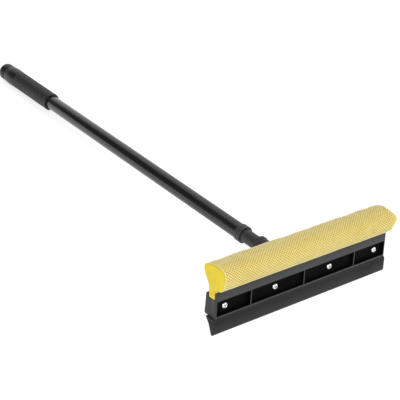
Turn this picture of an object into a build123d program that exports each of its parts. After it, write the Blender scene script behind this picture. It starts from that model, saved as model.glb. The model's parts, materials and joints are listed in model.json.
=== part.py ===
"""Telescopic windscreen squeegee: a clamped head with a rubber blade and a netted sponge, on a twist-lock pole.

Row frame: +X along the head, +Y from the head towards the grip, +Z up, origin in the middle of the blade's
edge, where the tool rests on the floor. Its other resting point is the swell of the grip.
The head is drawn in its own axes, y back from the front face and z up from the bottom edge, and the pole in
stations along its axis from the head's back, so both are placed by their planes alone.
"""

import os
from math import asin, atan2, cos, degrees, hypot, radians, sin

from build123d import *

os.makedirs("parts", exist_ok=True)

# Head
HEAD_LENGTH = 280.0
HEAD_DEPTH = 19.3
FRONT_HEIGHT = 33.5
BACK_HEIGHT = 29.0
BACK_TOP_Y = 17.6
PARTING_Y = 8.0
END_WALL = 2.0
SLOT_FRONT_Y = 2.2
SLOT_BACK_Y = 14.0
SLOT_FLOOR_Z = 24.4
EDGE_CHAMFER = 0.6

# Front face of the head: bays between a rail, a ledge and ribs
RAIL_BOTTOM_Z = 22.4
LEDGE_Z = 3.0
WEB_FRONT_Y = 4.5
RIB = 1.5
RIB_SET_BACK = 0.5
RIB_X = (-85.1, 0.0, 85.1)
BAY_CORNER = 0.8

# Back face of the head: shallower bays between ribs, with a solid block behind the pole socket
BACK_BAY_BOTTOM_Z = 3.6
BACK_BAY_TOP_Z = 21.9
BACK_BAY_FLOOR_Y = 13.2
BACK_RIB_X = (16.0, 65.0, 104.0)
GUSSET_REACH = 40.0
GUSSET_STATION = 45.0
GUSSET = 3.0

# Clamp screws, in pairs at these distances either side of the middle
SCREW_X = (-123.4, -44.9, 44.9, 123.4)
SCREW_Z = 12.6
SCREW_HEAD_RADIUS = 4.1
SCREW_HEAD_HEIGHT = 3.0
SCREW_RADIUS = 1.8
SCREW_LENGTH = 11.0
SCREW_POINT = 1.2
SCREW_DOME = 1.9
RECESS_LENGTH = 3.8
RECESS_WIDTH = 0.9
RECESS_DEPTH = 1.4
WEB_HOLE_RADIUS = 2.1
BOSS_RADIUS = 4.4
BOSS_END_Y = 18.0

# Rubber blade
NECK_FRONT_Y = 7.6
NECK_BACK_Y = 10.2
BULB_FRONT_Y = 7.0
BULB_BACK_Y = 11.6
BULB_BOTTOM_Z = 3.2
BULB_TOP_Z = 7.8
BLADE_OVERHANG = 2.3
BLADE_FRONT_Y = 0.4
BLADE_BACK_Y = 13.4
WAIST_Y = 8.2
WAIST_Z = -8.0
SHOULDER_Z = -0.5
SHOULDER_CHAMFER = 2.4
GROOVE_Y = 5.4
GROOVE_BOTTOM_Z = -11.0
EDGE_Y = 2.3
EDGE_Z = -21.0
EDGE_WIDTH = 1.8

# Sponge and its net
TONGUE_FRONT_Y = 2.7
TONGUE_BACK_Y = 13.5
NET = 0.5

# Pole, in stations along its axis from the head's back
POLE_RISE = 5.2
POLE_Z = 16.0
TUBE_RADIUS = 10.5
TUBE_BORE = 9.9
INNER_RADIUS = 9.0
INNER_BORE = 8.2
RUNNING = 0.05
SOCKET_FLOOR = 4.0
SOCKET_END = 66.0
SOCKET_RADIUS = 11.2
SOCKET_ROOT_RADIUS = 12.4
SOCKET_RIM_RADIUS = 12.1
SOCKET_RIM = 5.0
COLLAR_START = 91.0
COLLAR_END = 101.0
COLLAR_FACE = 2.5
COLLAR_RADIUS = 11.6
COLLAR_GROOVE = 0.5
SLEEVE_LENGTH = 40.0
GRIP_START = 537.0
GRIP_END = 652.0
GRIP_RADIUS = 13.1
SWELL_STATION = 640.0
SWELL_RADIUS = 13.6
CAP_END = 670.0
CAP_RADIUS = 12.7
CAP_ROUND = 5.0
CAP_SPIGOT = 12.0

# Screw and pin that hold the inner tube's two ends
SOCKET_SCREW_STATION = 50.0
SOCKET_SCREW_SEAT = 10.5
SOCKET_SCREW_TIP = 5.5
SOCKET_SCREW_HEAD_RADIUS = 3.0
SOCKET_SCREW_HEAD = 1.8
SPOT_FACE_RADIUS = 3.4
PIN_RADIUS = 1.5

# Twist lock behind the inner tube
ECCENTRICITY = 1.0
PLUG_LENGTH = 22.0
PLUG_FLANGE = 3.0
END_PLAY = 0.1
GUIDE_LENGTH = 10.0
GUIDE_JOURNAL_RADIUS = 6.0
CAM_LENGTH = 14.0
CAM_RADIUS = 9.1
CAM_JOURNAL_RADIUS = 4.0
WASHER_RADIUS = 7.0
WASHER_THICKNESS = 1.2
CAM_SCREW_RADIUS = 1.5
CAM_SCREW_LENGTH = 14.0
CAM_SCREW_HEAD_RADIUS = 2.8
CAM_SCREW_HEAD = 2.2

TUBE_START = COLLAR_START + COLLAR_FACE
LOCK_END = GRIP_END - CAP_SPIGOT - 5 * END_PLAY
WASHER_START = LOCK_END - CAM_SCREW_HEAD - WASHER_THICKNESS
CAM_START = WASHER_START - END_PLAY - CAM_LENGTH
GUIDE_START = CAM_START - END_PLAY - GUIDE_LENGTH
INNER_END = GUIDE_START - END_PLAY - PLUG_FLANGE
PIN_STATION = INNER_END - PLUG_LENGTH / 2
EXTENSION = GUIDE_START - TUBE_START - SLEEVE_LENGTH - 5 * END_PLAY

# The floor touches the blade's edge and the swell of the grip, so the head leans back by this angle.
rise = radians(POLE_RISE)
swell_y = HEAD_DEPTH + SWELL_STATION * cos(rise) - EDGE_Y
swell_z = POLE_Z + SWELL_STATION * sin(rise) - EDGE_Z
lean = atan2(swell_z, swell_y) - asin(SWELL_RADIUS / hypot(swell_y, swell_z))


def at_rest(y, z):
    """The row-frame place of a point of the head's middle plane, as the tool rests on the floor."""
    back = y - EDGE_Y
    up = z - EDGE_Z
    return (0, back * cos(lean) + up * sin(lean), up * cos(lean) - back * sin(lean))


pole_along = (0, cos(lean - rise), -sin(lean - rise))
pole_down = (0, -sin(lean - rise), -cos(lean - rise))
# HEAD draws sections in the head's y and z, FACE looks at the head's front, and POLE draws in stations and radii.
HEAD = Plane(origin=at_rest(0, 0), x_dir=(0, cos(lean), -sin(lean)), z_dir=(1, 0, 0))
FACE = Plane(origin=at_rest(0, 0), x_dir=(1, 0, 0), z_dir=(0, -cos(lean), sin(lean)))
FORWARD = Axis(FACE.origin, FACE.z_dir)
POLE = Plane(origin=at_rest(HEAD_DEPTH, POLE_Z), x_dir=pole_along, z_dir=(1, 0, 0))
ALONG = Axis(POLE.origin, pole_along)
ACROSS = Plane(origin=POLE.origin, x_dir=(1, 0, 0), z_dir=pole_along)
SHELF = Plane(origin=POLE.origin, x_dir=(1, 0, 0), z_dir=(0, sin(lean - rise), cos(lean - rise)))
UNDER = Plane(
    origin=POLE.origin + Vector(*pole_along) * SOCKET_SCREW_STATION, x_dir=(1, 0, 0), z_dir=pole_down
)

half = HEAD_LENGTH / 2
bay_height = RAIL_BOTTOM_Z - LEDGE_Z
bay_middle = (RAIL_BOTTOM_Z + LEDGE_Z) / 2
back_bay_height = BACK_BAY_TOP_Z - BACK_BAY_BOTTOM_Z
back_bay_middle = (BACK_BAY_TOP_Z + BACK_BAY_BOTTOM_Z) / 2


def finish(builder, name):
    """Labels a finished sub-part and writes its STEP."""
    builder.part.label = name
    export_step(builder.part, f"parts/{name}.step")
    print(name, round(builder.part.volume))


def cross_recess(length, width):
    """Draws a screw's cross recess in the sketch being built."""
    Rectangle(length, width)
    Rectangle(width, length)


# Front clamp bar: the slot's front wall over a rail, a web with three ribs, and a ledge over the blade
front_walls = [(-half, -half + END_WALL), *[(x - RIB / 2, x + RIB / 2) for x in RIB_X], (half - END_WALL, half)]
with BuildPart() as front_clamp_bar:
    with BuildSketch(HEAD):
        with BuildLine():
            Polyline(
                (0, 0),
                (NECK_FRONT_Y, 0),
                (NECK_FRONT_Y, BULB_BOTTOM_Z),
                (BULB_FRONT_Y, BULB_BOTTOM_Z),
                (BULB_FRONT_Y, BULB_TOP_Z),
                (PARTING_Y, BULB_TOP_Z),
                (PARTING_Y, SLOT_FLOOR_Z),
                (SLOT_FRONT_Y, SLOT_FLOOR_Z),
                (SLOT_FRONT_Y, FRONT_HEIGHT),
                (0, FRONT_HEIGHT),
                close=True,
            )
        make_face()
    extrude(amount=half, both=True)
    chamfer(faces().sort_by(FORWARD)[-1].edges(), EDGE_CHAMFER)
    with BuildSketch(FACE.offset(-WEB_FRONT_Y)):
        for before, after in zip(front_walls, front_walls[1:]):
            with Locations(((before[1] + after[0]) / 2, bay_middle)):
                RectangleRounded(after[0] - before[1], bay_height, BAY_CORNER)
    extrude(amount=2 * WEB_FRONT_Y, mode=Mode.SUBTRACT)
    with BuildSketch(FACE):
        for x in RIB_X:
            with Locations((x, bay_middle)):
                Rectangle(RIB + 2 * BAY_CORNER, bay_height)
    extrude(amount=-RIB_SET_BACK, mode=Mode.SUBTRACT)
    with BuildSketch(FACE.offset(-WEB_FRONT_Y)):
        with Locations(*[(x, SCREW_Z) for x in SCREW_X]):
            Circle(WEB_HOLE_RADIUS)
    extrude(amount=-PARTING_Y, mode=Mode.SUBTRACT)
finish(front_clamp_bar, "front_clamp_bar")

# Back body: the slot's back wall, the blade's groove, ribbed bays, screw bosses and the pole socket
back_walls = [(-half, -half + END_WALL), *[(-x - RIB, -x) for x in reversed(BACK_RIB_X)]]
back_body_bays = []
for before, after in zip(back_walls, back_walls[1:]):
    middle = (before[1] + after[0]) / 2
    back_body_bays += [(middle, after[0] - before[1]), (-middle, after[0] - before[1])]
with BuildPart() as back_body:
    with BuildSketch(HEAD):
        with BuildLine():
            Polyline(
                (PARTING_Y, BULB_TOP_Z),
                (BULB_BACK_Y, BULB_TOP_Z),
                (BULB_BACK_Y, BULB_BOTTOM_Z),
                (NECK_BACK_Y, BULB_BOTTOM_Z),
                (NECK_BACK_Y, 0.5),
                (HEAD_DEPTH, 1.7),
                (BACK_TOP_Y, BACK_HEIGHT),
                (SLOT_BACK_Y, BACK_HEIGHT),
                (SLOT_BACK_Y, SLOT_FLOOR_Z),
                (PARTING_Y, SLOT_FLOOR_Z),
                close=True,
            )
        make_face()
    extrude(amount=half, both=True)
    with BuildSketch(FACE.offset(-BACK_BAY_FLOOR_Y)):
        for middle, width in back_body_bays:
            with Locations((middle, back_bay_middle)):
                RectangleRounded(width, back_bay_height, BAY_CORNER)
    extrude(amount=-HEAD_DEPTH, mode=Mode.SUBTRACT)
    with BuildSketch(FACE.offset(-BACK_BAY_FLOOR_Y)):
        with Locations(*[(x, SCREW_Z) for x in SCREW_X]):
            Circle(BOSS_RADIUS)
    extrude(amount=BACK_BAY_FLOOR_Y - BOSS_END_Y)
    with BuildSketch(POLE):
        with BuildLine():
            Polyline(
                (-4, 0),
                (-4, SOCKET_ROOT_RADIUS),
                (0, SOCKET_ROOT_RADIUS),
                (SOCKET_END - SOCKET_RIM - 1, SOCKET_RADIUS),
                (SOCKET_END - SOCKET_RIM, SOCKET_RIM_RADIUS),
                (SOCKET_END - 1, SOCKET_RIM_RADIUS),
                (SOCKET_END, SOCKET_RIM_RADIUS - 1),
                (SOCKET_END, 0),
                close=True,
            )
        make_face()
    revolve(axis=ALONG)
    with BuildSketch(SHELF.offset(-GUSSET / 2)):
        with BuildLine():
            Polyline(
                (-GUSSET_REACH, BACK_BAY_FLOOR_Y - HEAD_DEPTH),
                (GUSSET_REACH, BACK_BAY_FLOOR_Y - HEAD_DEPTH),
                (GUSSET_REACH, 0),
                (SOCKET_RADIUS, GUSSET_STATION),
                (-SOCKET_RADIUS, GUSSET_STATION),
                (-GUSSET_REACH, 0),
                close=True,
            )
        make_face()
    extrude(amount=GUSSET)
    with BuildSketch(ACROSS.offset(SOCKET_FLOOR)):
        Circle(INNER_RADIUS)
    extrude(amount=SOCKET_END, mode=Mode.SUBTRACT)
    with BuildSketch(FACE.offset(-PARTING_Y)):
        with Locations(*[(x, SCREW_Z) for x in SCREW_X]):
            Circle(SCREW_RADIUS)
    extrude(amount=PARTING_Y - WEB_FRONT_Y - SCREW_LENGTH, mode=Mode.SUBTRACT)
    with BuildSketch(UNDER):
        Circle(SCREW_RADIUS)
    extrude(amount=2 * SOCKET_RADIUS, mode=Mode.SUBTRACT)
    with BuildSketch(UNDER.offset(SOCKET_SCREW_SEAT)):
        Circle(SPOT_FACE_RADIUS)
    extrude(amount=SOCKET_RADIUS, mode=Mode.SUBTRACT)
finish(back_body, "back_body")

# Rubber blade: a bulb and a neck in the groove, over a longer wedge with a hinge groove and a bevelled edge
edge_back = EDGE_WIDTH / 2 * cos(lean)
edge_up = EDGE_WIDTH / 2 * sin(lean)
with BuildPart() as rubber_blade:
    with BuildSketch(HEAD):
        with BuildLine():
            Polyline(
                (BULB_FRONT_Y, BULB_BOTTOM_Z),
                (BULB_FRONT_Y, BULB_TOP_Z),
                (BULB_BACK_Y, BULB_TOP_Z),
                (BULB_BACK_Y, BULB_BOTTOM_Z),
                (NECK_BACK_Y, BULB_BOTTOM_Z),
                (NECK_BACK_Y, SHOULDER_Z),
                (NECK_FRONT_Y, SHOULDER_Z),
                (NECK_FRONT_Y, BULB_BOTTOM_Z),
                close=True,
            )
        make_face()
    extrude(amount=half, both=True)
    with BuildSketch(HEAD):
        with BuildLine():
            Polyline(
                (BLADE_BACK_Y, SHOULDER_Z),
                (WAIST_Y, WAIST_Z),
                (EDGE_Y + edge_back, EDGE_Z + edge_up),
                (EDGE_Y - edge_back, EDGE_Z - edge_up),
                (BLADE_FRONT_Y, EDGE_Z + 1.8),
                (BLADE_FRONT_Y, SHOULDER_Z - SHOULDER_CHAMFER),
                (BLADE_FRONT_Y + SHOULDER_CHAMFER, SHOULDER_Z),
                (GROOVE_Y - 0.4, SHOULDER_Z),
                (GROOVE_Y, GROOVE_BOTTOM_Z),
                (GROOVE_Y + 0.4, SHOULDER_Z),
                close=True,
            )
        make_face()
    extrude(amount=half + BLADE_OVERHANG, both=True)
finish(rubber_blade, "rubber_blade")

# Foam sponge: a tongue in the slot that flares into a rounded head, fuller at the front
foam_outline = (
    (TONGUE_FRONT_Y, SLOT_FLOOR_Z),
    (TONGUE_FRONT_Y, 37.5),
    (-5.0, 37.0),
    (-11.0, 44.0),
    (-13.4, 55.0),
    (-11.4, 63.6),
    (-3.5, 67.8),
    (6.0, 68.5),
    (16.0, 66.2),
    (24.6, 62.4),
    (24.2, 56.0),
    (22.0, 50.3),
    (16.8, 42.8),
    (13.9, 37.0),
    (TONGUE_BACK_Y, 33.0),
    (TONGUE_BACK_Y, SLOT_FLOOR_Z),
)
with BuildPart() as foam_sponge:
    with BuildSketch(HEAD) as foam_section:
        with BuildLine():
            Polyline(*foam_outline, close=True)
        make_face()
    extrude(amount=half, both=True)
finish(foam_sponge, "foam_sponge")

# Sponge net: a thin skin round the sponge from one side of the slot to the other
with BuildPart() as sponge_net:
    with BuildSketch(HEAD):
        with BuildLine():
            Polyline(*foam_outline, close=True)
        make_face()
        offset(amount=NET, kind=Kind.INTERSECTION)
        with BuildLine():
            Polyline(*foam_outline, close=True)
        make_face(mode=Mode.SUBTRACT)
        with Locations(((TONGUE_FRONT_Y + TONGUE_BACK_Y) / 2, SLOT_FLOOR_Z - 1)):
            Rectangle(HEAD_DEPTH, 2, mode=Mode.SUBTRACT)
    extrude(amount=half, both=True)
finish(sponge_net, "sponge_net")

# Clamp screws: four pan-head screws that draw the back body to the front bar
with BuildPart() as clamp_screws:
    with BuildSketch(FACE.offset(-WEB_FRONT_Y)):
        with Locations(*[(x, SCREW_Z) for x in SCREW_X]):
            Circle(SCREW_HEAD_RADIUS)
    extrude(amount=SCREW_HEAD_HEIGHT)
    fillet(edges().group_by(FORWARD)[-1], SCREW_DOME)
    with BuildSketch(FACE.offset(-WEB_FRONT_Y)):
        with Locations(*[(x, SCREW_Z) for x in SCREW_X]):
            Circle(SCREW_RADIUS)
    extrude(amount=-SCREW_LENGTH)
    chamfer(edges().group_by(FORWARD)[0], SCREW_POINT)
    with BuildSketch(FACE.offset(SCREW_HEAD_HEIGHT - WEB_FRONT_Y)):
        with Locations(*[(x, SCREW_Z) for x in SCREW_X]):
            cross_recess(RECESS_LENGTH, RECESS_WIDTH)
    extrude(amount=-RECESS_DEPTH, mode=Mode.SUBTRACT)
finish(clamp_screws, "clamp_screws")

# Inner tube: pressed into the socket, with a hole for its screw and one for the plug's pin
with BuildPart() as inner_tube:
    with BuildSketch(ACROSS.offset(SOCKET_FLOOR)):
        Circle(INNER_RADIUS)
        Circle(INNER_BORE, mode=Mode.SUBTRACT)
    extrude(amount=INNER_END - SOCKET_FLOOR)
    with BuildSketch(UNDER):
        Circle(PIN_RADIUS)
    extrude(amount=2 * INNER_RADIUS, mode=Mode.SUBTRACT)
    with BuildSketch(POLE):
        with Locations((PIN_STATION, 0)):
            Circle(PIN_RADIUS)
    extrude(amount=2 * INNER_RADIUS, both=True, mode=Mode.SUBTRACT)
finish(inner_tube, "inner_tube")

# Socket screw: holds the inner tube in the socket, from below
with BuildPart() as socket_screw:
    with BuildSketch(UNDER.offset(SOCKET_SCREW_SEAT)):
        Circle(SOCKET_SCREW_HEAD_RADIUS)
    extrude(amount=SOCKET_SCREW_HEAD)
    fillet(edges().group_by(Axis(UNDER.origin, UNDER.z_dir))[-1], SOCKET_SCREW_HEAD / 2)
    with BuildSketch(UNDER.offset(SOCKET_SCREW_TIP)):
        Circle(PIN_RADIUS)
    extrude(amount=SOCKET_SCREW_SEAT - SOCKET_SCREW_TIP)
    with BuildSketch(UNDER.offset(SOCKET_SCREW_SEAT + SOCKET_SCREW_HEAD)):
        cross_recess(RECESS_LENGTH - 1, RECESS_WIDTH)
    extrude(amount=-SOCKET_SCREW_HEAD / 2, mode=Mode.SUBTRACT)
finish(socket_screw, "socket_screw")

# Lock plug: pinned in the inner tube, with a round journal for the guide ring and an eccentric one for the cam
with BuildPart() as lock_plug:
    with BuildSketch(ACROSS.offset(INNER_END - PLUG_LENGTH)):
        Circle(INNER_BORE)
    extrude(amount=PLUG_LENGTH)
    with BuildSketch(ACROSS.offset(INNER_END)):
        Circle(INNER_RADIUS)
    extrude(amount=PLUG_FLANGE)
    with BuildSketch(ACROSS.offset(INNER_END + PLUG_FLANGE)):
        Circle(GUIDE_JOURNAL_RADIUS)
    extrude(amount=GUIDE_LENGTH + 1.5 * END_PLAY)
    with BuildSketch(ACROSS.offset(CAM_START - END_PLAY / 2)):
        with Locations((-ECCENTRICITY, 0)):
            Circle(CAM_JOURNAL_RADIUS)
    extrude(amount=CAM_LENGTH + 1.5 * END_PLAY)
    with BuildSketch(ACROSS.offset(WASHER_START)):
        with Locations((-ECCENTRICITY, 0)):
            Circle(CAM_SCREW_RADIUS)
    extrude(amount=WASHER_THICKNESS - CAM_SCREW_LENGTH, mode=Mode.SUBTRACT)
    with BuildSketch(POLE):
        with Locations((PIN_STATION, 0)):
            Circle(PIN_RADIUS)
    extrude(amount=2 * INNER_RADIUS, both=True, mode=Mode.SUBTRACT)
finish(lock_plug, "lock_plug")

# Plug pin: a straight pin through the inner tube and the plug, flush with the tube
with BuildPart() as plug_pin:
    with BuildSketch(POLE):
        with Locations((PIN_STATION, 0)):
            Circle(PIN_RADIUS)
    extrude(amount=INNER_RADIUS - 0.2, both=True)
finish(plug_pin, "plug_pin")

# Guide ring: turns on the plug's round journal and slides in the outer tube
with BuildPart() as guide_ring:
    with BuildSketch(ACROSS.offset(GUIDE_START)):
        Circle(TUBE_BORE - RUNNING)
        Circle(GUIDE_JOURNAL_RADIUS + RUNNING, mode=Mode.SUBTRACT)
    extrude(amount=GUIDE_LENGTH)
finish(guide_ring, "guide_ring")

# Cam ring: its outside is true to the pole when open and jams in the tube when it turns on its journal
with BuildPart() as cam_ring:
    with BuildSketch(ACROSS.offset(CAM_START)):
        Circle(CAM_RADIUS)
        with Locations((-ECCENTRICITY, 0)):
            Circle(CAM_JOURNAL_RADIUS + RUNNING, mode=Mode.SUBTRACT)
    extrude(amount=CAM_LENGTH)
finish(cam_ring, "cam_ring")

# Cam washer: keeps the cam ring on its journal
with BuildPart() as cam_washer:
    with BuildSketch(ACROSS.offset(WASHER_START)):
        with Locations((-ECCENTRICITY, 0)):
            Circle(WASHER_RADIUS)
            Circle(CAM_SCREW_RADIUS + 2 * RUNNING, mode=Mode.SUBTRACT)
    extrude(amount=WASHER_THICKNESS)
finish(cam_washer, "cam_washer")

# Cam screw: holds the washer to the plug
with BuildPart() as cam_screw:
    with BuildSketch(ACROSS.offset(WASHER_START + WASHER_THICKNESS)):
        with Locations((-ECCENTRICITY, 0)):
            Circle(CAM_SCREW_HEAD_RADIUS)
    extrude(amount=CAM_SCREW_HEAD)
    with BuildSketch(ACROSS.offset(LOCK_END)):
        with Locations((-ECCENTRICITY, 0)):
            cross_recess(RECESS_LENGTH - 1, RECESS_WIDTH)
    extrude(amount=-CAM_SCREW_HEAD / 2, mode=Mode.SUBTRACT)
    with BuildSketch(ACROSS.offset(WASHER_START + WASHER_THICKNESS)):
        with Locations((-ECCENTRICITY, 0)):
            Circle(CAM_SCREW_RADIUS)
    extrude(amount=-CAM_SCREW_LENGTH)
finish(cam_screw, "cam_screw")

# Outer tube: slides and turns over the inner tube
with BuildPart() as outer_tube:
    with BuildSketch(ACROSS.offset(TUBE_START)):
        Circle(TUBE_RADIUS)
        Circle(TUBE_BORE, mode=Mode.SUBTRACT)
    extrude(amount=GRIP_END - TUBE_START)
finish(outer_tube, "outer_tube")

# Mouth collar: a grooved ring over the outer tube's end, with a sleeve inside it that guides the inner tube
with BuildPart() as mouth_collar:
    with BuildSketch(POLE):
        with BuildLine():
            Polyline(
                (COLLAR_START, INNER_RADIUS + RUNNING),
                (COLLAR_START, COLLAR_RADIUS - COLLAR_GROOVE),
                (COLLAR_START + COLLAR_GROOVE, COLLAR_RADIUS),
                (TUBE_START + 2.0, COLLAR_RADIUS),
                (TUBE_START + 2.3, COLLAR_RADIUS - COLLAR_GROOVE),
                (TUBE_START + 3.3, COLLAR_RADIUS - COLLAR_GROOVE),
                (TUBE_START + 3.6, COLLAR_RADIUS),
                (COLLAR_END - COLLAR_GROOVE, COLLAR_RADIUS),
                (COLLAR_END, COLLAR_RADIUS - COLLAR_GROOVE),
                (COLLAR_END, TUBE_RADIUS),
                (TUBE_START, TUBE_RADIUS),
                (TUBE_START, TUBE_BORE),
                (TUBE_START + SLEEVE_LENGTH, TUBE_BORE),
                (TUBE_START + SLEEVE_LENGTH, INNER_RADIUS + RUNNING),
                close=True,
            )
        make_face()
    revolve(axis=ALONG)
finish(mouth_collar, "mouth_collar")

# Grip sleeve: pushed over the tube, with a lip in front and a swell near the hand's heel
with BuildPart() as grip_sleeve:
    with BuildSketch(POLE):
        with BuildLine():
            Polyline(
                (GRIP_START, TUBE_RADIUS),
                (GRIP_START, GRIP_RADIUS - 0.8),
                (GRIP_START + 1.5, GRIP_RADIUS + 0.2),
                (GRIP_START + 5, GRIP_RADIUS + 0.2),
                (GRIP_START + 8, GRIP_RADIUS),
                (SWELL_STATION - 16, GRIP_RADIUS - 0.2),
                (SWELL_STATION - 5, SWELL_RADIUS - 0.3),
                (SWELL_STATION, SWELL_RADIUS),
                (SWELL_STATION + 5, SWELL_RADIUS - 0.3),
                (GRIP_END, CAP_RADIUS + 0.2),
                (GRIP_END, TUBE_RADIUS),
                close=True,
            )
        make_face()
    revolve(axis=ALONG)
finish(grip_sleeve, "grip_sleeve")

# End cap: a rounded plug in the outer tube's end, flush with the grip
with BuildPart() as end_cap:
    with BuildSketch(ACROSS.offset(GRIP_END - CAP_SPIGOT)):
        Circle(TUBE_BORE)
    extrude(amount=CAP_SPIGOT)
    with BuildSketch(ACROSS.offset(GRIP_END)):
        Circle(CAP_RADIUS)
    extrude(amount=CAP_END - GRIP_END)
    fillet(edges().group_by(ALONG)[-1], CAP_ROUND)
finish(end_cap, "end_cap")

cam_origin = ACROSS.origin - Vector(ECCENTRICITY, 0, 0)
print("lean", round(degrees(lean), 4), "degrees, extension", round(EXTENSION, 2), "mm")
print("pole axis at", tuple(round(v, 4) for v in POLE.origin), "along", tuple(round(v, 6) for v in pole_along))
print("cam axis at", tuple(round(v, 4) for v in cam_origin))
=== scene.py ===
"""The looks of a telescopic windscreen squeegee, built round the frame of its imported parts.

Sizes are in millimetres, in the head's own axes (y back from its front face, z up from its bottom
edge) and in stations along the pole. head_point and pole_point turn them into the row frame, in metres.
"""

import json
from math import asin, cos, hypot, pi, radians, sin, tau

import bmesh
import bpy
from mathutils import Matrix, Vector, noise


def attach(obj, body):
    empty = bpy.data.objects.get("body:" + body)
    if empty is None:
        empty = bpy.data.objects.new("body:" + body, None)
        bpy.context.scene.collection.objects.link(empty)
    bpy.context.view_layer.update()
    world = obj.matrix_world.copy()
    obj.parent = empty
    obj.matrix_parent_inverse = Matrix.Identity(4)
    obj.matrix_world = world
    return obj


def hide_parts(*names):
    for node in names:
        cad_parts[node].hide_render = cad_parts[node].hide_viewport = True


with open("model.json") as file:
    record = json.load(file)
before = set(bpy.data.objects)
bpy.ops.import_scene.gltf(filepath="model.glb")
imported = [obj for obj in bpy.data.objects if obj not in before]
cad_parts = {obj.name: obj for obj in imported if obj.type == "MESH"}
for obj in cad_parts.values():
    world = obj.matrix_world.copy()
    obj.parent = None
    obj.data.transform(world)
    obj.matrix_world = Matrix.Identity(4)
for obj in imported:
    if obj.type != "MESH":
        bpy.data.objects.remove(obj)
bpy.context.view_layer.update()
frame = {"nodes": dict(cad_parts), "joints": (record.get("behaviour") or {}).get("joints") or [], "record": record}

bl_info = {
    "name": "Windscreen Squeegee",
    "version": (1, 0, 0),
    "blender": (4, 5, 0),
    "location": "View3D > Sidebar > Squeegee",
    "description": "Builds a telescopic windscreen squeegee with a netted sponge round its packed frame",
    "category": "Object",
}

MM = 0.001

# Places that the pieces share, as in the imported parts
HALF_LENGTH = 140.0
EDGE_Y = 2.3
EDGE_Z = -21.0
HEAD_DEPTH = 19.3
POLE_RISE = 5.2
POLE_Z = 16.0
RECESS_FLOOR_Y = 4.5
FRONT_SKIN = 1.0
WEB_BACK_Y = 7.9
SLACK = 0.2
BLADE_HALF = 142.3
EDGE_WIDTH = 1.8
RECESS_BOTTOM_Z = 3.0
RECESS_TOP_Z = 22.4
SCREW_X = (-123.4, -44.9, 44.9, 123.4)
SCREW_Z = 12.6
TUBE_RADIUS = 10.5
TUBE_BORE = 9.9
INNER_RADIUS = 9.0
INNER_BORE = 8.2
SOCKET_FLOOR = 4.0
INNER_END = 608.8
COLLAR_START = 91.0
COLLAR_END = 101.0
COLLAR_FACE = 2.5
COLLAR_RADIUS = 11.6
SLEEVE_LENGTH = 40.0
GRIP_START = 537.0
GRIP_END = 652.0
SWELL_STATION = 640.0
CAP_END = 670.0
CAP_RADIUS = 12.7
CAP_SPIGOT = 12.0

POLE_AXIS = Vector(frame["joints"][0]["axis"]).normalized()
LEAN = asin(-POLE_AXIS.z) + radians(POLE_RISE)


def head_point(x, y, z):
    """A point of the head's own axes, in the row frame."""
    back = y - EDGE_Y
    up = z - EDGE_Z
    return Vector((x, back * cos(LEAN) + up * sin(LEAN), up * cos(LEAN) - back * sin(LEAN))) * MM


def head_direction(x, y, z):
    """A direction of the head's own axes, in the row frame."""
    return (head_point(x, y, z) - head_point(0, 0, 0)).normalized()


POLE_START = head_point(0, HEAD_DEPTH, POLE_Z)
POLE_SIDE = Vector((1, 0, 0))
POLE_UP = POLE_SIDE.cross(POLE_AXIS)


def pole_point(station, radius, angle):
    """A point round the pole's axis, in the row frame."""
    spoke = POLE_SIDE * cos(angle) + POLE_UP * sin(angle)
    return POLE_START + POLE_AXIS * (station * MM) + spoke * (radius * MM)


# ---- sizes and colours


def length_setting(name, description, size):
    """A length that a user can change, given in millimetres."""
    return bpy.props.FloatProperty(name=name, description=description, default=size * MM, unit="LENGTH")


def angle_setting(name, description, degrees):
    """An angle that a user can change, given in degrees."""
    return bpy.props.FloatProperty(
        name=name, description=description, default=radians(degrees), subtype="ANGLE"
    )


def amount_setting(name, description, default, unit="NONE"):
    """A number from zero up that a user can change."""
    return bpy.props.FloatProperty(
        name=name, description=description, default=default, min=0.0, unit=unit
    )


def count_setting(name, description, default, least):
    """A whole number that a user can change."""
    return bpy.props.IntProperty(name=name, description=description, default=default, min=least)


def colour_setting(name, description, default):
    """A colour that a user can change."""
    return bpy.props.FloatVectorProperty(
        name=name, description=description, default=default, subtype="COLOR", size=3, min=0.0, max=1.0
    )


class SqueegeeSizes(bpy.types.PropertyGroup):
    """Sizes of the pieces that this file shapes."""

    bevel: length_setting("Edge Bevel", "Rounding of the moulded edges", 0.22)
    foam_cell: length_setting("Foam Voxel", "Size of the sponge's remeshed faces", 1.15)
    foam_lumps: length_setting("Foam Lumps", "Height of the sponge's soft lumps", 0.55)
    foam_pores: length_setting("Foam Pores", "Depth of the sponge's open pores", 0.5)
    net_pitch: length_setting("Net Pitch", "Width of a mesh of the net, along the head", 4.2)
    net_row: length_setting("Net Row", "Half the height of a mesh, round the sponge", 1.7)
    strand_width: length_setting("Strand Width", "Width of the net's flat strands", 0.9)
    strand_thickness: length_setting("Strand Thickness", "Thickness of the net's strands", 0.36)
    rib_pitch: length_setting("Rib Pitch", "Distance between the grip's ribs", 5.0)
    rib_count: count_setting("Ribs", "Number of ribs on the grip", 18, 2)
    rib_width: length_setting("Rib Width", "Width of one rib at its root", 2.8)
    grip_radius: length_setting("Grip Radius", "Radius over the grip's ribs", 13.1)
    rib_height: length_setting("Rib Height", "How far the ribs stand out", 0.7)
    swell_radius: length_setting("Swell Radius", "Radius of the grip's swell", 13.6)
    lathe_steps: count_setting("Lathe Steps", "Sides of the turned pieces", 96, 12)


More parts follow.
